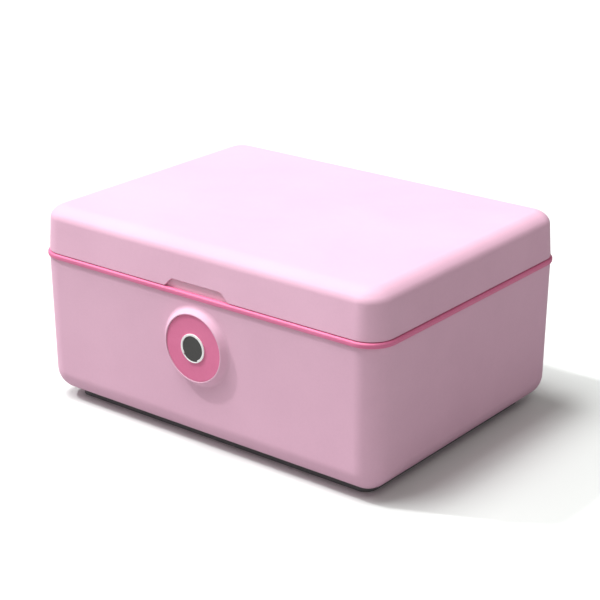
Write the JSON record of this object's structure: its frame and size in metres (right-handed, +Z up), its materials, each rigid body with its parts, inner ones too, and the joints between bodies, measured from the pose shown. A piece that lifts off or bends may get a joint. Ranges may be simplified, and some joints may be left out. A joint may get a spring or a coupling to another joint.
{
  "type": "toy safe coin bank",
  "caption": "Rounded plastic money box with a rear-hinged lid, a trim band round the seam, a finger notch and a round turning lock on the front.",
  "frame": {"origin": "on the floor, under the middle of the whole bank's box", "axes": "+X along the front from left to right, +Y from the lock towards the hinges, +Z up"},
  "size_m": [0.2, 0.1566, 0.0974],
  "materials": {
    "shell_pink": "satin, fine moulded texture",
    "hot_pink": "semi-gloss",
    "collar_pink": "matte",
    "ring_white": "gloss",
    "plug_dark": "matte",
    "base_grey": "matte",
    "steel": "zinc plated",
    "brass": "turned"
  },
  "bodies": {
    "case": {"body_shell": "shell_pink", "rim_band": "hot_pink", "inner_collar": "collar_pink", "base_plate": "base_grey", "base_screws": "steel", "lock_bush": "brass", "lock_nut": "steel", "body_leaf_left": "steel", "body_leaf_right": "steel", "hinge_pin_left": "steel", "hinge_pin_right": "steel", "body_leaf_screws": "steel"},
    "lid": {"lid_shell": "shell_pink", "lid_keeper": "steel", "keeper_screws": "steel", "lid_leaf_left": "steel", "lid_leaf_right": "steel", "lid_leaf_screws": "steel"},
    "dial": {"dial_face": "hot_pink", "dial_ring": "ring_white", "dial_plug": "plug_dark", "lock_spindle": "brass", "wave_washer": "steel", "lock_cam": "steel", "cam_washer": "steel", "cam_screw": "steel"}
  },
  "joints": [
    {"name": "lid_hinge", "type": "hinge", "parent": "case", "child": "lid", "pos_m": [0, 0.0769, 0.07545], "axis": [-1, 0, 0], "range_deg": [0, 105]},
    {"name": "dial_turn", "type": "hinge", "parent": "case", "child": "dial", "pos_m": [0, -0.0769, 0.0505], "axis": [0, 1, 0], "range_deg": [0, 90]}
  ]
}
